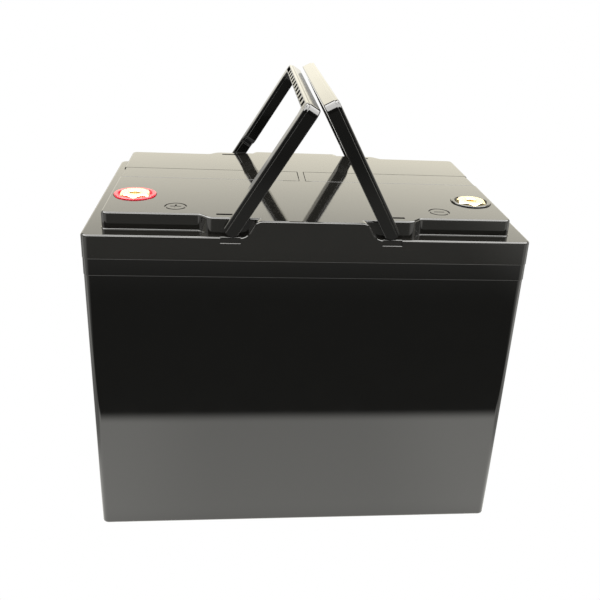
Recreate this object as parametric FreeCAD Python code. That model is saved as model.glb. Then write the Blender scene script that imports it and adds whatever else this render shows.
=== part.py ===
"""Battery pack: a 12 V block of prismatic cells in a lidded plastic case with two swing handles.

Row frame, in millimetres: origin at the centre of the case's underside, +X along the length towards the
negative terminal, +Z up, and -Y towards the front long side. Every piece is modelled where it sits.
"""

import FreeCAD, Part
import math
import os
from FreeCAD import Vector

# ---------------------------------------------------------------- driving dimensions
LENGTH = 260.0                  # lid, along X
WIDTH = 168.0                   # lid, along Y
PLATEAU_Z = 211.0               # top of the lid's raised middle
LEDGE_Z = 201.0                 # top of the ledge round the raised middle
SKIRT_Z = 186.5                 # bottom of the lid's skirt, where it sits on the case
COLLAR_Z = 176.4                # bottom of the collar round the case's mouth
CORNER_R = 4.0                  # upright corners of case and lid

CASE_TOP = (259.4, 166.6)       # outside of the case under the collar
CASE_FOOT = (257.4, 164.6)      # outside of the case at the bottom
COLLAR = (259.8, 167.2)
RIM = (254.8, 162.8)            # the case's rim, inside the lid's skirt
RIM_TOP_Z = 194.5
CAVITY_TOP = (250.4, 158.4)
CAVITY_FOOT = (249.2, 156.8)
FLOOR = 3.6                     # thickness of the case's floor
SEAL_OUTER = (257.4, 165.2)     # seal bead in the case's shoulder
SEAL_INNER = (255.6, 163.6)
SEAL_DEPTH = 1.0

SKIRT_WALL = 2.4
LID_WALL = 3.0                  # ledge and top of the lid
LEDGE_END = 10.0                # ledge depth at the two ends
LEDGE_FRONT = 11.0              # ledge depth along the long sides
PIVOT_WALL_Y = 79.0             # outer face of the walls that carry the handle pins
LID_EDGE_R = 1.1
PLATEAU_STEP = (64.8, 59.0)      # |x| where the raised middle steps out to the pivot walls, and ends stepping
SLOT = (39.0, 55.0, 71.3, 73.9) # slot behind each pivot wall: x from, x to, y from, y to
SLOT_FLOOR_Z = 201.8
FOOT_NOTCH = (41.0, 52.5, 3.4, 1.0)     # recess in the skirt below each pivot: x from, x to, high, deep
NOTCH_R = 0.6                   # rounding of the recess's upper and lower edges
BASE_R = 0.6                    # hollow rounding where the raised middle meets the ledge
BUMP_X = (31.9, 37.6)           # |x| of a centre bump's S-shaped sides, at the top and at the foot
BUMP_R = 6.0

VENT_Y = (3.0, 27.6)            # channel for the two cover strips
VENT_DEPTH = 2.2
VENT_GAP = 0.45
VENT_MIDDLE = 1.9               # half the width of the rib between the strips

PIVOT_X = 45.5
PIVOT_Z = 206.0
PIN_R = 3.0
PIN_HOLE_R = 3.05
PIN_HEAD = (3.6, 1.3)           # snap head behind the pivot wall: radius, thick
STOP_LUG = (4.9, 1.2)           # lug that stops the swing: reach from the pin's axis, half its width
STOP_ANGLE = 219.5
HANDLE_LEAN = {"left": 121.7, "right": 118.3}   # degrees from folded flat to leaning inward
GRIP_REACH = 82.0               # pin centre to the grip's outer face
GRIP_WIDTH = 6.7
ARM_Y = (73.2, 84.0)            # inner and outer faces of the arms
FOOT_Y = 79.4                   # inner face of the thin foot of each arm
ARM_UNDER, ARM_STEP, ARM_TOP = -4.2, -2.2, 4.6  # arm thickness about the pin, folded
ARM_BACK = -6.0                 # where the arm's outline starts, behind the pin
ARM_BEND = (15.2, 19.6)         # where the arm widens from its thin foot
FOOT_R = 4.7                    # rounding of the arm round the pin
STEP_INSET = 0.6                # below the step the handle is this much narrower on each side
STEP_EDGE = 0.4                 # rounding along the step's outer edge
UNDER_EDGE = 1.0                # rounding of the underside's edges
TOP_EDGE = 0.7
POCKETS = 13                    # cored pockets in the underside of each grip
POCKET_PITCH = 12.4
POCKET = (3.1, 6.8, 3.6)        # across the grip, along the grip, deep
CHANNEL = (3.1, 78.5, 1.1)      # shallow channel that the pockets lie in: wide, half its length, deep

TERMINAL = (105.0, 36.5)        # distance of the terminals from the centre lines
RECESS_R = 13.0
RECESS_DEPTH = 1.2
RING_R = 12.6
RING_TOP_Z = 211.8
RING_DISH = (10.2, 1.2)         # hollow inside the ring's rim: radius, deep
INSERT_HEX = 17.0               # across flats
INSERT_Z = (197.0, 212.5)
INSERT_FLANGE = (11.4, 2.5)     # radius, thick
M8_R = 3.4
M8_DEPTH = 11.4
M8_MOUTH = 0.5                  # countersink of the M8 hole
M6_R = 3.0
M6_DEPTH = 3.0                  # tapped length under each terminal insert
MARK_AT = (79.0, -59.0)         # polarity marks: |x|, y
MARK_R = (6.6, 5.5)
MARK_DEPTH = 0.5
MARK_BAR = (3.2, 0.5)           # the plus's and minus's bars: half their length, half their width

CELLS = 8
CELL = (26.7, 148.3, 129.8)
CELL_Z = 6.0                    # underside of the cells
CELL_GAP = 0.5
POST_Y = 52.0                   # cell terminals, from the middle of the cell
POST_BASE_H = 2.0
STUD_TOP_Z = 148.0
END_PLATE = (0.1, 3.1)          # inner and outer face, beyond the last cell
STRAP_Z = (38.0, 92.0)          # lower edges of the two bands
STRAP = (14.0, 0.8)             # high, thick
BAR_T = 2.0                     # busbar thickness
BAR_W = 20.0
LUG_T = 1.6
CABLE_R = 4.2
LUG_R = 5.0
LEAD_R = 0.9

COVER_Z = (150.0, 151.5)
COVER = (212.0, 128.0)
BOARD_Z = (156.0, 157.6)
BOARD = (140.0, 84.0)
STANDOFF_AT = (64.0, 36.0)
SCREW_R = 1.5

# ---------------------------------------------------------------- derived places
CELL_PITCH = CELL[0] + CELL_GAP
CELL_X = [(i - (CELLS - 1) / 2) * CELL_PITCH for i in range(CELLS)]
CELL_TOP_Z = CELL_Z + CELL[2]
BAR_Z = CELL_TOP_Z + POST_BASE_H
BAR_TOP_Z = BAR_Z + BAR_T
STACK_HALF = CELL_X[-1] + CELL[0] / 2
BAR_CABLE_Z = BAR_TOP_Z + 5.2   # cable axis where it leaves a busbar lug
TOP_CABLE_Z = 191.5             # cable axis where it meets a terminal lug
BOARD_CABLE_Z = BOARD_Z[1] + 5.6
BOARD_CABLE_Y = (-12.0, 22.0)   # battery negative and output negative on the board
X, Y, Z = Vector(1, 0, 0), Vector(0, 1, 0), Vector(0, 0, 1)


# ---------------------------------------------------------------- geometry helpers
def box(x0, x1, y0, y1, z0, z1):
    return Part.makeBox(x1 - x0, y1 - y0, z1 - z0, Vector(x0, y0, z0))


def cylinder(radius, start, axis, length):
    return Part.makeCylinder(radius, length, start, axis)


def tube(outer, inner, start, axis, length):
    return cylinder(outer, start, axis, length).cut(cylinder(inner, start, axis, length))


def fused(shapes):
    whole = shapes[0]
    for shape in shapes[1:]:
        whole = whole.fuse(shape)
    return whole.removeSplitter()


def rounded_wire(points, radii, closed=True):
    """Straight runs between the points, with a tangent arc of the given radius at each one."""
    count = len(points)
    bends = []
    for i, point in enumerate(points):
        if radii[i] == 0 or (not closed and i in (0, count - 1)):
            bends.append((point, None, point))
            continue
        back = (points[i - 1] - point).normalize()
        ahead = (points[(i + 1) % count] - point).normalize()
        half = back.getAngle(ahead) / 2
        reach = radii[i] / math.tan(half)
        inward = (back + ahead).normalize()
        middle = point + inward * (radii[i] / math.sin(half) - radii[i])
        bends.append((point + back * reach, middle, point + ahead * reach))
    edges = []
    for i, (start, middle, end) in enumerate(bends):
        if middle is not None:
            edges.append(Part.Arc(start, middle, end).toShape())
        if i + 1 < count or closed:
            following = bends[(i + 1) % count][0]
            if (following - end).Length > 1e-6:
                edges.append(Part.makeLine(end, following))
    return Part.Wire(edges)


def prism(corners, z0, z1):
    """An upright solid whose outline has corners (x, y, radius)."""
    wire = rounded_wire([Vector(x, y, z0) for x, y, _ in corners], [r for _, _, r in corners])
    return Part.Face(wire).extrude(Z * (z1 - z0))


def rectangle(size, radius):
    dx, dy = size[0] / 2, size[1] / 2
    return [(-dx, -dy, radius), (dx, -dy, radius), (dx, dy, radius), (-dx, dy, radius)]


def rounded_block(size, radius, z0, z1):
    return prism(rectangle(size, radius), z0, z1)


def tapered_block(size0, size1, radius, z0, z1):
    wires = []
    for size, z in ((size0, z0), (size1, z1)):
        corners = rectangle(size, radius)
        wires.append(rounded_wire([Vector(x, y, z) for x, y, _ in corners], [radius] * 4))
    return Part.makeLoft(wires, True, True)


def hexagon(across_flats, centre, z0, z1):
    reach = across_flats / math.sqrt(3)
    corners = []
    for i in range(6):
        angle = math.radians(30 + 60 * i)
        corners.append((centre.x + reach * math.cos(angle), centre.y + reach * math.sin(angle), 0))
    return prism(corners, z0, z1)


def edges_where(shape, test):
    """The edges whose two ends and middle all pass the test."""
    found = []
    for edge in shape.Edges:
        middle = edge.valueAt((edge.FirstParameter + edge.LastParameter) / 2)
        if all(test(p) for p in [v.Point for v in edge.Vertexes] + [middle]):
            found.append(edge)
    return found


def near(a, b):
    return abs(a - b) < 1e-4


def group(shapes):
    return Part.makeCompound(shapes)


# ---------------------------------------------------------------- case and lid
def case():
    body = tapered_block(CASE_FOOT, CASE_TOP, CORNER_R, 0, COLLAR_Z)
    body = body.makeFillet(1.8, edges_where(body, lambda p: near(p.z, 0)))
    collar = rounded_block(COLLAR, CORNER_R, COLLAR_Z, SKIRT_Z)
    collar = collar.makeFillet(0.4, edges_where(collar, lambda p: near(p.z, COLLAR_Z)))
    rim = rounded_block(RIM, CORNER_R - 1, SKIRT_Z, RIM_TOP_Z)
    cavity = tapered_block(CAVITY_FOOT, CAVITY_TOP, CORNER_R - 1, FLOOR, SKIRT_Z)
    mouth = rounded_block(CAVITY_TOP, CORNER_R - 1, SKIRT_Z, RIM_TOP_Z)
    return body.fuse(collar).fuse(rim).cut(cavity).cut(mouth).cut(lid_seal()).removeSplitter()


def lid_seal():
    outer = rounded_block(SEAL_OUTER, CORNER_R, SKIRT_Z - SEAL_DEPTH, SKIRT_Z)
    return outer.cut(rounded_block(SEAL_INNER, CORNER_R - 0.9, SKIRT_Z - SEAL_DEPTH, SKIRT_Z))


def plateau_corners(grow):
    """Outline of the lid's raised middle, moved in by a negative grow."""
    end = LENGTH / 2 - LEDGE_END + grow
    side = WIDTH / 2 - LEDGE_FRONT + grow
    near_pivot = PIVOT_WALL_Y + grow
    step_foot, step_head = PLATEAU_STEP
    front = [(-end, -side, 3.5), (-step_foot, -side, 3), (-step_head, -near_pivot, 6),
             (step_head, -near_pivot, 6), (step_foot, -side, 3), (end, -side, 3.5)]
    return front + [(x, -y, r) for x, y, r in reversed(front)]


def centre_bump(sign):
    """The S-sided rise at the middle of a long side, flush with the skirt's face."""
    head, foot = BUMP_X
    profile = [(-60, LEDGE_Z - 4, 0), (-60, LEDGE_Z, 0), (-foot, LEDGE_Z, BUMP_R), (-head, PLATEAU_Z, BUMP_R),
               (head, PLATEAU_Z, BUMP_R), (foot, LEDGE_Z, BUMP_R), (60, LEDGE_Z, 0), (60, LEDGE_Z - 4, 0)]
    y = sign * WIDTH / 2
    wire = rounded_wire([Vector(x, y, z) for x, z, _ in profile], [r for _, _, r in profile])
    return Part.Face(wire).extrude(Y * (-sign * 14))


def mirrored_four(make):
    """A feature made for each side in X and each side in Y."""
    return [make(sx, sy) for sx in (-1, 1) for sy in (-1, 1)]


def span(sign, a, b):
    """A range on the side that sign says, low end first."""
    return sorted((sign * a, sign * b))


def pin_hole(sx, sy):
    return cylinder(PIN_HOLE_R, Vector(sx * PIVOT_X, sy * (PIVOT_WALL_Y + 1), PIVOT_Z), Y * -sy, 9)


def pin_slot(sx, sy):
    x_from, x_to, y_from, y_to = SLOT
    return box(*span(sx, x_from, x_to), *span(sy, y_from, y_to), SLOT_FLOOR_Z, PLATEAU_Z + 1)


def edge_waste(x_range, sy, y, z):
    """What to cut from an edge along X, at distance y from the middle and height z, to round it."""
    waste = box(*x_range, *span(sy, y - NOTCH_R, y + 0.1), z - NOTCH_R, z + 0.1)
    return waste.cut(cylinder(NOTCH_R, Vector(x_range[0], sy * (y - NOTCH_R), z - NOTCH_R), X,
                              x_range[1] - x_range[0]))


def foot_notch(sx, sy):
    x_from, x_to, high, deep = FOOT_NOTCH
    x_range, face = span(sx, x_from, x_to), WIDTH / 2
    notch = box(*x_range, *span(sy, face - deep, face + 1), LEDGE_Z - high, LEDGE_Z + 1)
    return notch.fuse([edge_waste(x_range, sy, face - deep, LEDGE_Z),
                       edge_waste(x_range, sy, face, LEDGE_Z - high)])


def base_cove():
    """Hollow rounding at the foot of the raised middle, round the +X end of the lid."""
    corners = plateau_corners(0)[3:9]
    share = 0.42                # of the slanted step left out at each end, by the pivot walls
    start = Vector(*corners[0][:2], LEDGE_Z) * (1 - share) + Vector(*corners[1][:2], LEDGE_Z) * share
    bends = [Vector(x, y, LEDGE_Z) for x, y, _ in corners[1:-1]]
    path = rounded_wire([start, *bends, Vector(start.x, -start.y, LEDGE_Z)],
                        [0] + [r for _, _, r in corners[1:-1]] + [0], closed=False)
    out = (bends[0] - start).cross(Z).normalize()
    root, wall, ledge = Vector(-0.5, 0, -0.5), Vector(0, 0, BASE_R), Vector(BASE_R, 0, 0)
    belly = Vector(1, 0, 1) * (BASE_R * (1 - math.sqrt(0.5)))
    outline = [start + out * p.x + Z * p.z
               for p in (ledge, belly, wall, Vector(root.x, 0, BASE_R), root, Vector(BASE_R, 0, root.z))]
    edges = [Part.Arc(*outline[:3]).toShape()]
    edges += [Part.makeLine(p, q) for p, q in zip(outline[2:], outline[3:] + outline[:1])]
    return path.makePipeShell([Part.Wire(edges)], True, False)


def polarity_mark(sign):
    """A circle with a plus or a minus inside, sunk into the lid beside its terminal."""
    at = Vector(sign * MARK_AT[0], MARK_AT[1], PLATEAU_Z - MARK_DEPTH)
    half_long, half_wide = MARK_BAR
    mark = tube(*MARK_R, at, Z, 1)
    mark = mark.fuse(box(at.x - half_long, at.x + half_long, at.y - half_wide, at.y + half_wide,
                         at.z, at.z + 1))
    if sign < 0:
        mark = mark.fuse(box(at.x - half_wide, at.x + half_wide, at.y - half_long, at.y + half_long,
                             at.z, at.z + 1))
    return mark


def terminal_at(sign, z):
    return Vector(sign * TERMINAL[0], -TERMINAL[1], z)


def terminal_boss(sign):
    """Round pad under the lid that holds a terminal insert, kept inside the raised middle's end wall."""
    low = PLATEAU_Z - LID_WALL - 8
    pad = cylinder(RECESS_R + 3, terminal_at(sign, low), Z, 8.5)
    return pad.common(box(*span(sign, 80, LENGTH / 2 - LEDGE_END - 1), -60, -10, low, PLATEAU_Z))


def lid():
    skirt = rounded_block((LENGTH, WIDTH), CORNER_R, SKIRT_Z, LEDGE_Z)
    outer = skirt.fuse(centre_bump(-1)).fuse(centre_bump(1)).removeSplitter()
    edge = edges_where(outer, lambda p: p.z > LEDGE_Z - 0.01 and (
        near(abs(p.y), WIDTH / 2) or abs(p.x) > LENGTH / 2 - CORNER_R - 0.01 and (
            near(abs(p.x), LENGTH / 2) or abs(p.y) > WIDTH / 2 - CORNER_R - 0.01)))
    outer = outer.makeFillet(LID_EDGE_R, edge)
    foot = edges_where(outer, lambda p: near(p.z, SKIRT_Z))
    outer = outer.makeFillet(0.5, foot)
    plateau = prism(plateau_corners(0), LEDGE_Z - 3, PLATEAU_Z)
    plateau = plateau.makeFillet(LID_EDGE_R, edges_where(plateau, lambda p: near(p.z, PLATEAU_Z)))
    cove = base_cove()
    outer = fused([outer, plateau, cove, cove.mirror(Vector(), X)])

    inner_top = PLATEAU_Z - LID_WALL
    hollow = rounded_block((LENGTH - 2 * SKIRT_WALL, WIDTH - 2 * SKIRT_WALL), CORNER_R - 1.5,
                           SKIRT_Z - 1, LEDGE_Z - LID_WALL)
    crown = rounded_block((LENGTH - 2 * LEDGE_END - 2 * LID_WALL, 138), 3, LEDGE_Z - 4, inner_top)
    bumps = [box(-26, 26, *span(sy, 60, 81), LEDGE_Z - 4, inner_top) for sy in (-1, 1)]
    shell = outer.cut(hollow).cut(crown).cut(bumps[0]).cut(bumps[1])

    under_channel = box(-118, 118, VENT_Y[0] - 2, VENT_Y[1] + 2, inner_top - 2.2, inner_top + 0.5)
    shell = fused([shell, under_channel, terminal_boss(-1), terminal_boss(1)])

    channels = [box(*span(s, VENT_MIDDLE, LENGTH / 2), *VENT_Y, PLATEAU_Z - VENT_DEPTH, PLATEAU_Z + 1)
                for s in (-1, 1)]
    recesses = [cylinder(RECESS_R, terminal_at(s, PLATEAU_Z - RECESS_DEPTH), Z, 3) for s in (-1, 1)]
    insert_holes = [hexagon(INSERT_HEX + 0.1, terminal_at(s, 0), LEDGE_Z - 6, PLATEAU_Z + 1) for s in (-1, 1)]
    marks = [polarity_mark(s) for s in (-1, 1)]
    cuts = [*channels, *recesses, *insert_holes, *marks,
            *mirrored_four(pin_hole), *mirrored_four(pin_slot), *mirrored_four(foot_notch)]
    return shell.cut(group(cuts)).removeSplitter()


def vent_cover(sign):
    strip = box(*span(sign, VENT_MIDDLE + VENT_GAP, LENGTH / 2 - LEDGE_END - 1.2),
                VENT_Y[0] + VENT_GAP, VENT_Y[1] - VENT_GAP, PLATEAU_Z - VENT_DEPTH, PLATEAU_Z)
    return strip.makeFillet(0.3, edges_where(strip, lambda p: near(p.z, PLATEAU_Z)))


# ---------------------------------------------------------------- terminals
def terminal_ring(sign):
    z = PLATEAU_Z - RECESS_DEPTH
    disc = cylinder(RING_R, terminal_at(sign, z), Z, RING_TOP_Z - z)
    dish_r, dish_deep = RING_DISH
    disc = disc.cut(cylinder(dish_r, terminal_at(sign, RING_TOP_Z - dish_deep), Z, dish_deep))
    disc = disc.makeFillet(0.45, edges_where(disc, lambda p: near(p.z, RING_TOP_Z)))
    disc = disc.makeFillet(0.3, edges_where(disc, lambda p: near(p.z, RING_TOP_Z - dish_deep)))
    return disc.cut(hexagon(INSERT_HEX + 0.1, terminal_at(sign, 0), z - 1, RING_TOP_Z + 1))


def terminal_insert(sign):
    """Hexagonal brass insert: tapped M8 from the top for the user, tapped M6 from below for the cable lug."""
    low, high = INSERT_Z
    body = hexagon(INSERT_HEX, terminal_at(sign, 0), low, high)
    corner_trim = Part.makeCone(INSERT_HEX, INSERT_HEX / 2 - 0.2, INSERT_HEX / 2 + 0.2,
                                terminal_at(sign, high - INSERT_HEX / 2 - 0.2), Z)
    body = body.common(corner_trim.fuse(box(*span(sign, 80, 130), -60, -10, low - 1, high - 8.6)))
    flange = cylinder(INSERT_FLANGE[0], terminal_at(sign, low), Z, INSERT_FLANGE[1])
    top_hole = cylinder(M8_R, terminal_at(sign, high - M8_DEPTH), Z, M8_DEPTH + 1)
    mouth = Part.makeCone(M8_R, M8_R + M8_MOUTH, M8_MOUTH, terminal_at(sign, high - M8_MOUTH), Z)
    lower_hole = cylinder(M6_R, terminal_at(sign, low - 1), Z, M6_DEPTH + 1)
    return body.fuse(flange).cut(top_hole).cut(mouth).cut(lower_hole).removeSplitter()


def terminal_bolts():
    bolts = []
    for sign in (-1, 1):
        lug_under = INSERT_Z[0] - LUG_T
        head = hexagon(10, terminal_at(sign, 0), lug_under - 4, lug_under)
        shank = cylinder(M6_R - 0.02, terminal_at(sign, lug_under), Z, LUG_T + M6_DEPTH - 0.2)
        bolts.append(fused([head, shank]))
    return group(bolts)


# ---------------------------------------------------------------- handles
def handle_outline(inset):
    """U shape in plan with the pin centre line at x = 0: arms along X, grip along Y at the far end."""
    end, grip = GRIP_REACH - inset, GRIP_REACH - GRIP_WIDTH + inset
    outer, inner, foot = ARM_Y[1] - inset, ARM_Y[0] + inset, FOOT_Y + inset
    half = [(ARM_BACK, -outer, 0), (end, -outer, 5), (end, outer, 5), (ARM_BACK, outer, 0),
            (ARM_BACK, foot, 0), (ARM_BEND[0], foot, 4), (ARM_BEND[1], inner, 4), (grip, inner, 4)]
    mirror = [(x, -y, r) for x, y, r in reversed(half[4:])]
    return half + mirror


def foot_profile():
    """Side view of an arm: rounded at the pin end, long enough to reach past the grip."""
    start = math.sqrt(FOOT_R ** 2 - ARM_UNDER ** 2)
    arc_end = math.sqrt(FOOT_R ** 2 - (ARM_TOP - 0.4) ** 2)
    points = [Vector(-start, 0, ARM_UNDER), Vector(-FOOT_R, 0, 0), Vector(-arc_end, 0, ARM_TOP - 0.4)]
    arc = Part.Arc(*points).toShape()
    corners = [points[2], Vector(-arc_end + 0.5, 0, ARM_TOP), Vector(GRIP_REACH + 5, 0, ARM_TOP),
               Vector(GRIP_REACH + 5, 0, ARM_UNDER), points[0]]
    lines = [Part.makeLine(a, b) for a, b in zip(corners, corners[1:])]
    face = Part.Face(Part.Wire([arc, *lines]))
    face.translate(Vector(0, -WIDTH, 0))
    return face.extrude(Y * 2 * WIDTH)


def handle_pin(sign, lean):
    """Pin on the inside of one foot: through the pivot wall, with a snap head and a stop lug in the slot."""
    head_r, thick = PIN_HEAD
    reach, half_wide = STOP_LUG
    tip = SLOT[2] + 0.7
    shaft = cylinder(PIN_R, Vector(0, sign * (FOOT_Y + 2), 0), Y * -sign, FOOT_Y + 2 - tip)
    head = cylinder(head_r, Vector(0, sign * (tip + thick), 0), Y * -sign, thick)
    lug = box(0, reach, *span(sign, tip, tip + thick), -half_wide, half_wide)
    lug.rotate(Vector(), Y, -(STOP_ANGLE - lean))
    return fused([shaft, head, lug])


def rounded_at(shape, z, radius):
    """The shape with its edges at height z rounded, except at the arms' ends."""
    return shape.makeFillet(radius, edges_where(shape, lambda p: near(p.z, z) and p.x > ARM_BACK + 0.1))


def folded_handle(lean):
    """Handle lying flat towards +X, pins at the origin."""
    lower = prism(handle_outline(STEP_INSET), ARM_UNDER, ARM_STEP)
    lower = rounded_at(lower, ARM_UNDER, UNDER_EDGE)
    upper = prism(handle_outline(0), ARM_STEP, ARM_TOP)
    upper = rounded_at(rounded_at(upper, ARM_TOP, TOP_EDGE), ARM_STEP, STEP_EDGE)
    body = lower.fuse(upper).common(foot_profile())
    across, along, deep = POCKET
    middle = GRIP_REACH - GRIP_WIDTH / 2 - 0.1
    first = -(POCKETS - 1) / 2 * POCKET_PITCH
    pockets = [box(middle - across / 2, middle + across / 2, y - along / 2, y + along / 2,
                   ARM_UNDER - 1, ARM_UNDER + deep)
               for y in (first + i * POCKET_PITCH for i in range(POCKETS))]
    wide, half_long, channel_deep = CHANNEL
    channel = box(middle - wide / 2, middle + wide / 2, -half_long, half_long,
                  ARM_UNDER - 1, ARM_UNDER + channel_deep)
    body = body.cut(channel).cut(group(pockets))
    return fused([body, handle_pin(-1, lean), handle_pin(1, lean)])


def handle(side):
    lean = HANDLE_LEAN[side]
    shape = folded_handle(lean)
    shape.rotate(Vector(), Y, -lean)
    shape.translate(Vector(PIVOT_X, 0, PIVOT_Z))
    return shape.mirror(Vector(), X) if side == "left" else shape


# ---------------------------------------------------------------- cell stack
def cell(number):
    x = CELL_X[number - 1]
    can = box(x - CELL[0] / 2, x + CELL[0] / 2, -CELL[1] / 2, CELL[1] / 2, CELL_Z, CELL_TOP_Z)
    can = can.makeFillet(1.5, edges_where(can, lambda p: near(abs(p.x - x), CELL[0] / 2)
                                          and near(abs(p.y), CELL[1] / 2)))
    posts = []
    for y in (-POST_Y, POST_Y):
        posts.append(cylinder(8, Vector(x, y, CELL_TOP_Z), Z, POST_BASE_H))
        posts.append(cylinder(M6_R, Vector(x, y, CELL_TOP_Z), Z, STUD_TOP_Z - CELL_TOP_Z))
    vent = cylinder(7, Vector(x, 0, CELL_TOP_Z - 0.5), Z, 1)
    return fused([can.cut(vent), *posts])


def cell_spacers():
    middles = [(a + b) / 2 for a, b in zip(CELL_X, CELL_X[1:])]
    return group([box(x - CELL_GAP / 2, x + CELL_GAP / 2, -72, 72, CELL_Z + 2, CELL_TOP_Z - 2)
                  for x in middles])


def end_plate(sign):
    inner, outer = END_PLATE
    return box(*span(sign, STACK_HALF + inner, STACK_HALF + outer), -73, 73, CELL_Z, 132)


def pack_straps():
    high, thick = STRAP
    inside = (2 * (STACK_HALF + END_PLATE[1] + 0.1), CELL[1] + 0.2)
    outside = (inside[0] + 2 * thick, inside[1] + 2 * thick)
    return group([rounded_block(outside, 1, z, z + high).cut(rounded_block(inside, 0, z, z + high))
                  for z in STRAP_Z])


def busbar(first, last, side):
    """Flat bar over the studs of cells first to last, on the row of terminals at that side."""
    x0, x1 = CELL_X[first - 1] - 11, CELL_X[last - 1] + 11
    y = side * POST_Y
    plate = prism([(x0, y - BAR_W / 2, 3), (x1, y - BAR_W / 2, 3), (x1, y + BAR_W / 2, 3),
                   (x0, y + BAR_W / 2, 3)], BAR_Z, BAR_TOP_Z)
    holes = [cylinder(M6_R + 0.1, Vector(x, y, BAR_Z - 1), Z, BAR_T + 2) for x in CELL_X[first - 1:last]]
    return plate.cut(group(holes))


def busbar_nuts():
    nuts = []
    for i, x in enumerate(CELL_X):
        for y in (-POST_Y, POST_Y):
            under = BAR_TOP_Z + (LUG_T if i in (0, CELLS - 1) and y < 0 else 0)
            bore = cylinder(M6_R + 0.05, Vector(x, y, under), Z, 5)
            nuts.append(hexagon(10, Vector(x, y, 0), under, under + 5).cut(bore))
    return group(nuts)


def foam_pad_base():
    return rounded_block((214, 144), 3, FLOOR + 0.05, CELL_Z)


def foam_pad(sign):
    return box(*span(sign, STACK_HALF + 4.4, CAVITY_FOOT[0] / 2 - 0.6), -60, 60, 12, 126)


# ---------------------------------------------------------------- electronics and wiring
def cell_cover():
    """Insulating sheet over the busbars, notched at the cables and drilled for leads and screws."""
    sheet = rounded_block(COVER, 4, *COVER_Z)
    notches = [box(*span(s, 86, 110), -70, 8, *COVER_Z) for s in (-1, 1)]
    leads = [cylinder(2.2, Vector(x, y, COVER_Z[0] - 1), Z, 4) for x, y in lead_taps()]
    screws = [cylinder(SCREW_R + 0.1, Vector(x, y, COVER_Z[0] - 1), Z, 4) for x, y in screw_places()]
    return sheet.cut(group([*notches, *leads, *screws]))


def cover_rails():
    rails = [box(-82, 82, *span(s, 14, 26), CELL_TOP_Z, COVER_Z[0]) for s in (-1, 1)]
    rails += [box(-100, -86, 12, 26, CELL_TOP_Z, COVER_Z[0]), box(86, 100, 12, 26, CELL_TOP_Z, COVER_Z[0])]
    return group(rails)


def screw_places():
    return [(sx * STANDOFF_AT[0], sy * STANDOFF_AT[1]) for sx in (-1, 1) for sy in (-1, 1)]


def bms_board():
    board = rounded_block(BOARD, 3, *BOARD_Z)
    holes = [cylinder(SCREW_R + 0.1, Vector(x, y, BOARD_Z[0] - 1), Z, 4) for x, y in screw_places()]
    return board.cut(group(holes))


def bms_standoffs():
    return group([tube(3, SCREW_R + 0.1, Vector(x, y, COVER_Z[1]), Z, BOARD_Z[0] - COVER_Z[1])
                  for x, y in screw_places()])


def bms_screws():
    screws = []
    for x, y in screw_places():
        head = cylinder(2.8, Vector(x, y, BOARD_Z[1]), Z, 2)
        shank = cylinder(SCREW_R, Vector(x, y, COVER_Z[0] - 1.5), Z, BOARD_Z[1] - COVER_Z[0] + 2)
        screws.append(fused([head, shank]))
    return group(screws)


def bms_transistors():
    return group([box(x - 5, x + 5, y - 4.5, y + 4.5, BOARD_Z[1], BOARD_Z[1] + 4.5)
                  for x in range(-52, 45, 16) for y in (-20, 20)])


def bms_heatsink():
    low = BOARD_Z[1] + 4.5
    base = box(-58, 50, -28, 28, low, low + 3)
    fins = [box(-58, 50, y - 0.8, y + 0.8, low + 2, low + 11) for y in range(-27, 28, 6)]
    return fused([base, *fins])


def bms_terminals():
    return group([box(56, 68, y - 7, y + 7, BOARD_Z[1], BOARD_Z[1] + 11).cut(
        cylinder(CABLE_R, Vector(62, y, BOARD_CABLE_Z), X, 8)) for y in BOARD_CABLE_Y])


def balance_connector():
    return box(-70, -60, -9, 9, COVER_Z[1] + 0.3, BOARD_Z[0])


def lead_taps():
    """Where the five balance leads meet the busbars, from pack positive to pack negative."""
    spots = [(0, 1, -1), (2, 3, 1), (3, 4, -1), (4, 5, 1), (6, 7, -1)]
    return [((CELL_X[a] + CELL_X[b]) / 2, side * POST_Y) for a, b, side in spots]


def balance_leads():
    """Thin leads from each busbar, through the cover, side by side to the connector."""
    z = COVER_Z[1] + 1.9
    lanes = [None, (46.5, -79.2, 2.4), (-46.5, -79.2, -2.4), (44.1, -76.8, 4.8), (-44.1, -76.8, -4.8)]
    wires = []
    for (x, y), lane in zip(lead_taps(), lanes):
        points = [Vector(x, y, BAR_TOP_Z), Vector(x, y, z)]
        turn_x, row = x, 0
        if lane:
            lane_y, turn_x, row = lane
            points += [Vector(x, lane_y, z), Vector(turn_x, lane_y, z)]
        points += [Vector(turn_x, row, z), Vector(-BOARD[0] / 2, row, z)]
        wires.append(round_cable(points, 2.2, LEAD_R))
    return group(wires)


def round_cable(points, bend, radius):
    path = rounded_wire(points, [bend] * len(points), closed=False)
    start = (points[1] - points[0]).normalize()
    ring = Part.Wire(Part.makeCircle(radius, points[0], start))
    return path.makePipeShell([ring], True, False)


def cable_to_terminal(sign):
    """From the mouth of a busbar lug, back and up, to the mouth of the lug under a terminal."""
    x = CELL_X[-1] * sign
    return [Vector(x, -42, BAR_CABLE_Z), Vector(x, 2, BAR_CABLE_Z),
            Vector(sign * TERMINAL[0], 2, TOP_CABLE_Z), Vector(sign * TERMINAL[0], -25, TOP_CABLE_Z)]


def cable_positive():
    return round_cable(cable_to_terminal(-1), 14, CABLE_R)


def cable_battery_negative():
    x, y = CELL_X[-1], BOARD_CABLE_Y[0]
    points = [Vector(x, -42, BAR_CABLE_Z), Vector(x, y, BAR_CABLE_Z),
              Vector(x - 11, y, BOARD_CABLE_Z), Vector(62, y, BOARD_CABLE_Z)]
    return round_cable(points, 9, CABLE_R)


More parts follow.
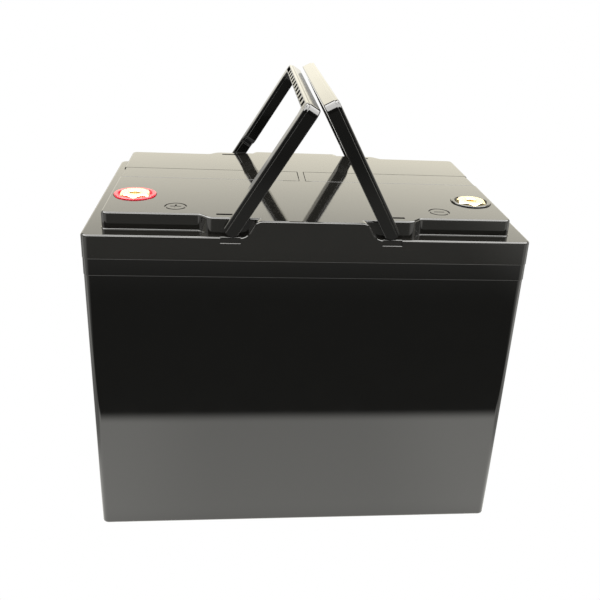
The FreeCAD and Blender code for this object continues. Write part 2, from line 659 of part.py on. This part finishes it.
def cable_output_negative():
    y = BOARD_CABLE_Y[1]
    points = [Vector(62, y, BOARD_CABLE_Z), Vector(96, y, BOARD_CABLE_Z),
              Vector(TERMINAL[0], 10, TOP_CABLE_Z), Vector(TERMINAL[0], -25, TOP_CABLE_Z)]
    return round_cable(points, 12, CABLE_R)


def lug(ring_at, plate_z, cable_z):
    """Ring lug: flat ring on a stud or bolt, and a crimped barrel towards +Y."""
    ring = cylinder(7.5, Vector(ring_at.x, ring_at.y, plate_z), Z, LUG_T)
    palm = box(ring_at.x - 4, ring_at.x + 4, ring_at.y, ring_at.y + 11, plate_z, plate_z + LUG_T)
    barrel = cylinder(LUG_R, Vector(ring_at.x, ring_at.y + 9.5, cable_z), Y, 13)
    hole = cylinder(M6_R + 0.1, Vector(ring_at.x, ring_at.y, plate_z - 1), Z, 4)
    crimp = cylinder(CABLE_R, Vector(ring_at.x, ring_at.y + 10, cable_z), Y, 14)
    return fused([ring, palm, barrel]).cut(hole).cut(crimp)


def cable_lugs():
    lugs = []
    for sign in (-1, 1):
        lugs.append(lug(Vector(sign * CELL_X[-1], -POST_Y, 0), BAR_TOP_Z, BAR_CABLE_Z))
        lugs.append(lug(terminal_at(sign, 0), INSERT_Z[0] - LUG_T, TOP_CABLE_Z))
    return group(lugs)


# ---------------------------------------------------------------- every piece by name
PIECES = {
    "case": case,
    "lid": lid,
    "lid_seal": lid_seal,
    "vent_cover_left": lambda: vent_cover(-1),
    "vent_cover_right": lambda: vent_cover(1),
    "terminal_ring_positive": lambda: terminal_ring(-1),
    "terminal_ring_negative": lambda: terminal_ring(1),
    "terminal_insert_positive": lambda: terminal_insert(-1),
    "terminal_insert_negative": lambda: terminal_insert(1),
    "terminal_bolts": terminal_bolts,
    "handle_left": lambda: handle("left"),
    "handle_right": lambda: handle("right"),
    "cell_spacers": cell_spacers,
    "end_plate_left": lambda: end_plate(-1),
    "end_plate_right": lambda: end_plate(1),
    "pack_straps": pack_straps,
    "busbar_positive_end": lambda: busbar(1, 2, -1),
    "busbar_link_1": lambda: busbar(1, 4, 1),
    "busbar_link_2": lambda: busbar(3, 6, -1),
    "busbar_link_3": lambda: busbar(5, 8, 1),
    "busbar_negative_end": lambda: busbar(7, 8, -1),
    "busbar_nuts": busbar_nuts,
    "foam_pad_base": foam_pad_base,
    "foam_pad_left": lambda: foam_pad(-1),
    "foam_pad_right": lambda: foam_pad(1),
    "cell_cover": cell_cover,
    "cover_rails": cover_rails,
    "bms_board": bms_board,
    "bms_standoffs": bms_standoffs,
    "bms_screws": bms_screws,
    "bms_transistors": bms_transistors,
    "bms_heatsink": bms_heatsink,
    "bms_terminals": bms_terminals,
    "balance_connector": balance_connector,
    "balance_leads": balance_leads,
    "cable_positive": cable_positive,
    "cable_battery_negative": cable_battery_negative,
    "cable_output_negative": cable_output_negative,
    "cable_lugs": cable_lugs,
}
for number in range(1, CELLS + 1):
    PIECES[f"cell_{number}"] = lambda n=number: cell(n)

os.makedirs("parts", exist_ok=True)
for name, make in PIECES.items():
    shape = make()
    print(f"{name}: valid {shape.isValid()}, {len(shape.Solids)} solids, {shape.Volume / 1000:.1f} cm3")
    shape.exportStep(f"parts/{name}.step")
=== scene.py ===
"""Looks of the battery pack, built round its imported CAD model. Metres, in the CAD frame, +Z up."""
import math

import bmesh
import bpy
from mathutils import Matrix, Vector, noise


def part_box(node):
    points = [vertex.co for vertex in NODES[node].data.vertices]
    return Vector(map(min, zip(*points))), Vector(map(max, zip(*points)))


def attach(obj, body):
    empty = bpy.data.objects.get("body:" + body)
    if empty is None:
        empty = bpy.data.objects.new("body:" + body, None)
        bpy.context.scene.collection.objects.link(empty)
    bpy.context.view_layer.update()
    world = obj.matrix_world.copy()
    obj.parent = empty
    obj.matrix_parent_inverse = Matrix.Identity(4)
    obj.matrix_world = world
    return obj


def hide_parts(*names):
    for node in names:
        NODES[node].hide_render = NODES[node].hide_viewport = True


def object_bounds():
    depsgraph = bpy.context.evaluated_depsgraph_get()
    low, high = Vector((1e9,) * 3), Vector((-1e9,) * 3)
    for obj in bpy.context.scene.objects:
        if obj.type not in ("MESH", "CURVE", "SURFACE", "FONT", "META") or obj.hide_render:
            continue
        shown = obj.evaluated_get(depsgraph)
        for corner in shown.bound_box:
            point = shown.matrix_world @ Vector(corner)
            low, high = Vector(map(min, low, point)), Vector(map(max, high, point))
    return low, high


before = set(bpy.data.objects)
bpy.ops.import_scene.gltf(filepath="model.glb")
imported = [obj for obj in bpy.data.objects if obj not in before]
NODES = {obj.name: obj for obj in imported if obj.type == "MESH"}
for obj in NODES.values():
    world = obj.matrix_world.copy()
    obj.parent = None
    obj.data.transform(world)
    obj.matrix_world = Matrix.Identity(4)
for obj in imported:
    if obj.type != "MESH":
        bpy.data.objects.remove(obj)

CAD_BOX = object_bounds()
MM = 0.001


# ---------------------------------------------------------------- node trees
class Graph:
    """Short forms for building a node tree."""

    MIX_A, MIX_B, MIX_RESULT = 6, 7, 2      # colour sockets of a Mix node, whose names aren't unique

    def __init__(self, tree):
        self.tree = tree
        tree.nodes.clear()

    def add(self, kind, **values):
        """A new node. Each value goes to the input of that name, or else to the node's own setting."""
        node = self.tree.nodes.new(kind)
        for key, value in values.items():
            name = key.replace("_", " ")
            if name in node.inputs:
                self.put(node.inputs[name], value)
            else:
                setattr(node, key, value)
        return node

    def put(self, socket, value):
        if isinstance(value, bpy.types.NodeSocket):
            self.tree.links.new(value, socket)
        elif isinstance(value, bpy.types.Node):
            self.tree.links.new(value.outputs[0], socket)
        else:
            socket.default_value = value

    def math(self, operation, a, b=0.5):
        node = self.tree.nodes.new("ShaderNodeMath")
        node.operation = operation
        self.put(node.inputs[0], a)
        self.put(node.inputs[1], b)
        return node.outputs[0]

    def product(self, first, *others):
        for other in others:
            first = self.math("MULTIPLY", first, other)
        return first

    def sum(self, first, *others):
        for other in others:
            first = self.math("ADD", first, other)
        return first

    def ramp(self, value, low, high, at_low=0.0, at_high=1.0):
        """Straight run from at_low to at_high while the value goes from low to high."""
        return self.add("ShaderNodeMapRange", Value=value, From_Min=low, From_Max=high,
                        To_Min=at_low, To_Max=at_high).outputs[0]

    def rise(self, value, low, high):
        """0 below low, 1 above high, smooth between."""
        node = self.add("ShaderNodeMapRange", Value=value, From_Min=low, From_Max=high)
        node.interpolation_type = "SMOOTHSTEP"
        return node.outputs[0]

    def fall(self, value, low, high, share=1.0):
        """1 below low, that share less above high, smooth between."""
        return self.math("SUBTRACT", 1.0, self.product(self.rise(value, low, high), share))

    def blend(self, factor, color_a, color_b):
        node = self.add("ShaderNodeMix", data_type="RGBA")
        self.put(node.inputs["Factor"], factor)
        self.put(node.inputs[self.MIX_A], color_a)
        self.put(node.inputs[self.MIX_B], color_b)
        return node.outputs[self.MIX_RESULT]

    def axes(self, vector):
        """The vector's X, Y and Z."""
        split = self.add("ShaderNodeSeparateXYZ", Vector=vector)
        return [split.outputs[axis] for axis in "XYZ"]

    def show_white_to_camera(self, light, white, output):
        """Reflections and shading get the light, and the camera itself sees plain white."""
        path = self.add("ShaderNodeLightPath")
        mix = self.add("ShaderNodeMixShader", Fac=path.outputs["Is Camera Ray"])
        self.put(mix.inputs[1], light)
        self.put(mix.inputs[2], white)
        self.put(self.add(output).inputs["Surface"], mix)


def opaque(color):
    return (*color, 1)


# ---------------------------------------------------------------- camera
CAMERA_AT = Vector((-41.93, -497.68, 348.27)) * MM
CAMERA_YAW = 0.12336            # towards +X from +Y, radians
CAMERA_PITCH = 0.39444          # below the horizon
CAMERA_ROLL = 0.05914
CAMERA_LENS = 46.14             # focal length, mm
CAMERA_SENSOR = 36
CAMERA_SHIFT = (-0.04403, -0.0309)      # the view is off the lens's axis
CAMERA_CLIP = (0.02, 50)


def make_camera():
    data = bpy.data.cameras.new("camera")
    data.lens, data.sensor_width = CAMERA_LENS, CAMERA_SENSOR
    data.shift_x, data.shift_y = CAMERA_SHIFT
    data.clip_start, data.clip_end = CAMERA_CLIP
    camera = bpy.data.objects.new("camera", data)
    bpy.context.scene.collection.objects.link(camera)
    yaw, pitch, roll = CAMERA_YAW, CAMERA_PITCH, CAMERA_ROLL
    ahead = Vector((math.sin(yaw) * math.cos(pitch), math.cos(yaw) * math.cos(pitch), -math.sin(pitch)))
    level = Vector((math.cos(yaw), -math.sin(yaw), 0))
    down = ahead.cross(level)
    right = level * math.cos(roll) - down * math.sin(roll)
    up = -(level * math.sin(roll) + down * math.cos(roll))
    basis = Matrix((right, up, -ahead)).transposed().to_4x4()
    camera.matrix_world = Matrix.Translation(CAMERA_AT) @ basis
    bpy.context.scene.camera = camera


# ---------------------------------------------------------------- studio
# Radiance by direction. A height is the direction's Z, and a side is its X.
ROOM = 0.035
ROOM_TINT = (1, 0.99, 0.96)
BACKDROP = 2.3                  # white backdrop behind the pack
BACKDROP_TINT = (1.0, 0.95, 0.79)
BACKDROP_FROM = (-0.2, 0.12)    # Y of the directions over which it begins
BACKDROP_FOOT = (-0.05, 0.16, 0.42)     # heights over which it brightens, and its share at the lower one
BACKDROP_HEAD = (0.22, 0.34, 0.66)      # heights over which it dims, and its share at the upper one
BACKDROP_TOP = (0.345, 0.37)    # heights over which it ends
SOFTBOX = 13.0                  # overhead
SOFTBOX_EDGE = 0.56             # height of its lower edge, at either side
SOFTBOX_TILT = 0.12             # how much higher that edge is behind the pack, and lower in front
SOFTBOX_BLUR = 0.05
SOFTBOX_MIDDLE = (0.88, 0.96, 0.6)      # heights over which it dims, and the share that it loses
PANEL = 3.2                     # one low panel on each side
PANEL_SIDE = (0.82, 0.88)
PANEL_FOOT = (0.1, 0.16)
PANEL_TOP = (0.4, 0.46)


def make_world():
    """White backdrop behind, dark room in front, side panels, and a large softbox over a dark gap."""
    world = bpy.data.worlds.new("studio")
    bpy.context.scene.world = world
    world.use_nodes = True
    g = Graph(world.node_tree)
    x, y, z = g.axes(g.add("ShaderNodeTexCoord").outputs["Generated"])

    foot_low, foot_high, foot_share = BACKDROP_FOOT
    head_low, head_high, head_share = BACKDROP_HEAD
    backdrop = g.product(g.rise(y, *BACKDROP_FROM), g.fall(z, *BACKDROP_TOP),
                         g.ramp(z, foot_low, foot_high, foot_share, 1.0),
                         g.ramp(z, head_low, head_high, 1.0, head_share))
    edge = g.sum(g.product(y, SOFTBOX_TILT), SOFTBOX_EDGE)
    softbox = g.product(g.rise(g.math("SUBTRACT", z, edge), 0.0, SOFTBOX_BLUR), g.fall(z, *SOFTBOX_MIDDLE))
    panel = g.product(g.rise(g.math("ABSOLUTE", x), *PANEL_SIDE),
                      g.rise(z, *PANEL_FOOT), g.fall(z, *PANEL_TOP))

    strength = g.math("MAXIMUM", g.sum(g.product(backdrop, BACKDROP), ROOM), g.product(softbox, SOFTBOX))
    strength = g.math("MAXIMUM", strength, g.product(panel, PANEL))
    tint = g.blend(backdrop, opaque(ROOM_TINT), opaque(BACKDROP_TINT))
    light = g.add("ShaderNodeBackground", Color=tint, Strength=strength)
    white = g.add("ShaderNodeBackground", Color=(1, 1, 1, 1), Strength=1.0)
    g.show_white_to_camera(light, white, "ShaderNodeOutputWorld")


# ---------------------------------------------------------------- floor
# Radiance by place. Each pair is where something starts and where it is complete.
FLOOR_SIZE = 6
FLOOR_Z = -0.2 * MM
FLOOR_TINT = (1.0, 0.99, 0.94)
FLOOR_DIM = 0.13                # everywhere, outside the lit parts
POOL = 2.5                      # pool of light round the case
POOL_FRONT = CAD_BOX[0].y - 0.124       # Y of its front edge
POOL_EDGE = (-0.008, 0.01)      # softness of that edge
POOL_BACK = (-0.1, -0.04, 0.62)         # Y where it dims, and the share lost
POOL_WING = (0.05, 0.14, 0.16)          # |x| where it brightens, and the share gained
POOL_END = (0.17, 0.24, 0.7)            # |x| where it thins out, and the share lost
STRIP = 0.22                    # faint strip of light further in front
STRIP_FROM = (-1.1, -0.75)
STRIP_TO = (-0.62, -0.42)
SIDE_LIGHT = 1.3                # light on the floor far to the left and right
SIDE_LIGHT_X = (0.25, 0.5)
SIDE_LIGHT_Y = (-0.1, 0.2)      # it ends over these


def make_floor():
    """Pale floor with a pool of light round the case, dim further in front."""
    bpy.ops.mesh.primitive_plane_add(size=1)
    floor = bpy.context.object
    floor.name = "floor"
    floor.scale = (FLOOR_SIZE, FLOOR_SIZE, 1)
    floor.location = (0, 0, FLOOR_Z)
    material = bpy.data.materials.new("floor")
    material.use_nodes = True
    g = Graph(material.node_tree)
    x, y, _ = g.axes(g.add("ShaderNodeNewGeometry").outputs["Position"])
    across = g.math("ABSOLUTE", x)

    wing_low, wing_high, wing_share = POOL_WING
    wing = g.product(g.rise(across, wing_low, wing_high), wing_share)
    pool = g.product(g.rise(y, *(POOL_FRONT + shift for shift in POOL_EDGE)), g.fall(y, *POOL_BACK),
                     g.sum(g.fall(across, *POOL_END), wing))
    strip = g.product(g.rise(y, *STRIP_FROM), g.fall(y, *STRIP_TO))
    beside = g.product(g.rise(across, *SIDE_LIGHT_X), g.fall(y, *SIDE_LIGHT_Y))

    strength = g.sum(g.product(pool, POOL), g.product(strip, STRIP), FLOOR_DIM, g.product(beside, SIDE_LIGHT))
    light = g.add("ShaderNodeEmission", Color=opaque(FLOOR_TINT), Strength=strength)
    white = g.add("ShaderNodeEmission", Color=(1, 1, 1, 1), Strength=1.0)
    g.show_white_to_camera(light, white, "ShaderNodeOutputMaterial")
    floor.data.materials.append(material)


# ---------------------------------------------------------------- materials
BLACK = (0.0012, 0.0012, 0.0011)
LID_BLACK_PAINTED_FILL = (0.0034, 0.0033, 0.0029)    # a little lighter than the case's black, lifted so that the lid's shaded walls come out less dark: painted fill light
DUST = (0.35, 0.34, 0.31)
IOR = 1.5
ROUGH_NOISE = (0.3, 0.7)        # range of the broad noise that the roughness follows
SCRATCH_STRETCH = (30, 900, 900)        # scratches run along X
SCRATCH_LEVEL = (0.62, 0.75)
SPECK_SCALE = 2600.0
SPECK_LEVEL = (0.7, 0.78)
WAVE_SCALE = 14.0


def finish_material(name, color, rough=(0.1, 0.2), metallic=0.0, tone=0.15, grain=400.0, bump=0.02,
                    wave=0.0, scratch=0.0, dust=0.0, mottle=60.0):
    """Procedural finish: mottled colour, patchy roughness, fine grain, slow waves, scratches and dust."""
    material = bpy.data.materials.new(name)
    material.use_nodes = True
    g = Graph(material.node_tree)
    place = g.add("ShaderNodeTexCoord").outputs["Object"]
    broad = g.add("ShaderNodeTexNoise", Vector=place, Scale=mottle, Detail=4.0, Roughness=0.55)
    fine = g.add("ShaderNodeTexNoise", Vector=place, Scale=grain, Detail=3.0, Roughness=0.6)
    darker = [c * (1 - tone) for c in color]
    lighter = [min(1.0, c * (1 + tone)) for c in color]
    tinted = g.blend(broad.outputs["Fac"], opaque(darker), opaque(lighter))
    roughness = g.ramp(broad.outputs["Fac"], *ROUGH_NOISE, *rough)
    if scratch:
        stretched = g.add("ShaderNodeMapping", Vector=place, Scale=SCRATCH_STRETCH)
        lines = g.add("ShaderNodeTexNoise", Vector=stretched, Scale=1.0, Detail=5.0)
        marks = g.ramp(lines.outputs["Fac"], *SCRATCH_LEVEL)
        roughness = g.sum(roughness, g.product(marks, scratch))
    if dust:
        specks = g.add("ShaderNodeTexNoise", Vector=place, Scale=SPECK_SCALE, Detail=2.0)
        dots = g.ramp(specks.outputs["Fac"], *SPECK_LEVEL)
        tinted = g.blend(g.product(dots, dust), tinted, opaque(DUST))
    height = g.product(fine.outputs["Fac"], bump)
    if wave:
        slow = g.add("ShaderNodeTexNoise", Vector=place, Scale=WAVE_SCALE, Detail=1.0)
        height = g.sum(height, g.product(slow.outputs["Fac"], wave))
    relief = g.add("ShaderNodeBump", Height=height, Strength=1.0, Distance=MM)
    shader = g.add("ShaderNodeBsdfPrincipled", Base_Color=tinted, Roughness=roughness,
                   Metallic=metallic, IOR=IOR, Normal=relief)
    g.put(g.add("ShaderNodeOutputMaterial").inputs["Surface"], shader)
    return material


def make_materials():
    finishes = {
        # plastics that show
        "case_black": dict(color=BLACK, rough=(0.03, 0.055), wave=0.05, bump=0.0006, dust=0.02),
        # the lid gets the lifted black, which paints fill light into its shaded walls
        "lid_black": dict(color=LID_BLACK_PAINTED_FILL, rough=(0.035, 0.065), wave=0.05, bump=0.001, dust=0.04),
        "handle_black": dict(color=BLACK, rough=(0.06, 0.11), wave=0.02, bump=0.0015),
        # the vent covers get the same lifted black, with painted fill light
        "vent_black": dict(color=LID_BLACK_PAINTED_FILL, rough=(0.045, 0.08), wave=0.03, bump=0.001),
        "ring_red": dict(color=(0.28, 0.002, 0.012), rough=(0.1, 0.17), tone=0.1),
        "ring_black": dict(color=BLACK, rough=(0.08, 0.14)),
        # metals
        "brass": dict(color=(0.88, 0.74, 0.44), rough=(0.26, 0.34), metallic=1.0, tone=0.06,
                      grain=900.0, bump=0.004, scratch=0.06),
        "steel": dict(color=(0.55, 0.55, 0.53), rough=(0.25, 0.4), metallic=1.0, scratch=0.15),
        "can": dict(color=(0.78, 0.79, 0.80), rough=(0.28, 0.42), metallic=1.0, tone=0.06, scratch=0.2),
        "strap": dict(color=(0.60, 0.61, 0.62), rough=(0.25, 0.35), metallic=1.0, scratch=0.25),
        "busbar": dict(color=(0.78, 0.74, 0.68), rough=(0.22, 0.36), metallic=1.0, scratch=0.2),
        "heatsink": dict(color=(0.10, 0.105, 0.115), rough=(0.35, 0.5), metallic=1.0),
        # plastics, rubber and foam inside
        "seal": dict(color=(0.02, 0.02, 0.02), rough=(0.5, 0.7), bump=0.02),
        "spacer": dict(color=(0.62, 0.58, 0.42), rough=(0.45, 0.6), grain=1500.0),
        "sheet": dict(color=(0.74, 0.72, 0.60), rough=(0.35, 0.5), grain=1200.0),
        "nylon": dict(color=(0.80, 0.79, 0.74), rough=(0.3, 0.45)),
        "board": dict(color=(0.01, 0.12, 0.05), rough=(0.2, 0.35), mottle=300.0, tone=0.3),
        "chip": dict(color=(0.02, 0.02, 0.02), rough=(0.5, 0.65), grain=2500.0, bump=0.03),
        "cable_red": dict(color=(0.45, 0.012, 0.012), rough=(0.35, 0.5), tone=0.1),
        "cable_black": dict(color=(0.012, 0.012, 0.012), rough=(0.35, 0.5), tone=0.1),
        "foam": dict(color=(0.045, 0.045, 0.048), rough=(0.8, 0.95), grain=1800.0, bump=0.25, tone=0.3),
    }
    return {name: finish_material(name, **finish) for name, finish in finishes.items()}


NODES_BY_FINISH = {
    "case_black": ["case"],
    "lid_black": ["lid"],
    "vent_black": ["vent_cover_left", "vent_cover_right"],
    "handle_black": ["handle_left", "handle_right"],
    "ring_red": ["terminal_ring_positive"],
    "ring_black": ["terminal_ring_negative"],
    "brass": ["terminal_insert_positive", "terminal_insert_negative"],
    "seal": ["lid_seal"],
    "steel": ["terminal_bolts", "busbar_nuts", "bms_standoffs", "bms_screws"],
    "can": [f"cell_{number}" for number in range(1, 9)],
    "spacer": ["cell_spacers", "end_plate_left", "end_plate_right"],
    "strap": ["pack_straps"],
    "busbar": ["busbar_positive_end", "busbar_link_1", "busbar_link_2", "busbar_link_3",
               "busbar_negative_end", "bms_terminals", "cable_lugs"],
    "sheet": ["cell_cover"],
    "nylon": ["cover_rails", "balance_connector"],
    "board": ["bms_board"],
    "chip": ["bms_transistors"],
    "heatsink": ["bms_heatsink"],
    "cable_red": ["balance_leads", "cable_positive"],
    "cable_black": ["cable_battery_negative", "cable_output_negative"],
}


def finish_nodes(materials):
    for finish, nodes in NODES_BY_FINISH.items():
        for node in nodes:
            for material_slot in NODES[node].material_slots:
                material_slot.material = materials[finish]


# ---------------------------------------------------------------- foam pads
PAD_BEVEL = 0.22                # of the pad's thickness
PAD_LONG_EDGE = 0.01            # edges longer than this are divided
PAD_CUTS = 11
PAD_RIM = 0.12                  # share of the half width over which the crown rises
PAD_RIM_SHARE = 0.86            # thickness left at the rim
PAD_NOISE = (90, 0.03, 0.6)     # lumps: scale, depth and offset


def crown(vertex, size, thin):
    """How thick the pad is at this vertex, as a share of its full thickness: less near the rim."""
    rim = min(1 - abs(vertex.co[axis]) / (size[axis] / 2) for axis in range(3) if axis != thin) / PAD_RIM
    return PAD_RIM_SHARE + (1 - PAD_RIM_SHARE) * math.sin(min(1.0, max(0.0, rim)) * math.pi / 2)


def foam_pad(node, name, material):
    """Closed-cell foam block with crowned faces, soft edges and a little unevenness."""
    low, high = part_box(node)
    size, middle = high - low, (high + low) / 2
    thin = min(range(3), key=lambda axis: size[axis])
    mesh = bmesh.new()
    bmesh.ops.create_cube(mesh, size=1)
    bmesh.ops.scale(mesh, vec=size, verts=mesh.verts)
    bmesh.ops.bevel(mesh, geom=mesh.edges[:], offset=min(size) * PAD_BEVEL, segments=3, affect="EDGES")
    long_edges = [edge for edge in mesh.edges if edge.calc_length() > PAD_LONG_EDGE]
    bmesh.ops.subdivide_edges(mesh, edges=long_edges, cuts=PAD_CUTS, use_grid_fill=True)
    scale, depth, offset = PAD_NOISE
    for vertex in mesh.verts:
        vertex.co[thin] *= crown(vertex, size, thin) - depth * (noise.noise(vertex.co * scale) + offset)
    bmesh.ops.translate(mesh, vec=middle, verts=mesh.verts)
    data = bpy.data.meshes.new(name)
    mesh.to_mesh(data)
    mesh.free()
    for face in data.polygons:
        face.use_smooth = True
    pad = bpy.data.objects.new(name, data)
    bpy.context.scene.collection.objects.link(pad)
    data.materials.append(material)
    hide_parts(node)
    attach(pad, "battery")


# ---------------------------------------------------------------- build
make_camera()
make_world()
make_floor()
MATERIALS = make_materials()
finish_nodes(MATERIALS)
foam_pad("foam_pad_base", "foam_base", MATERIALS["foam"])
foam_pad("foam_pad_left", "foam_left", MATERIALS["foam"])
foam_pad("foam_pad_right", "foam_right", MATERIALS["foam"])

bpy.context.scene.view_settings.view_transform = "Standard"
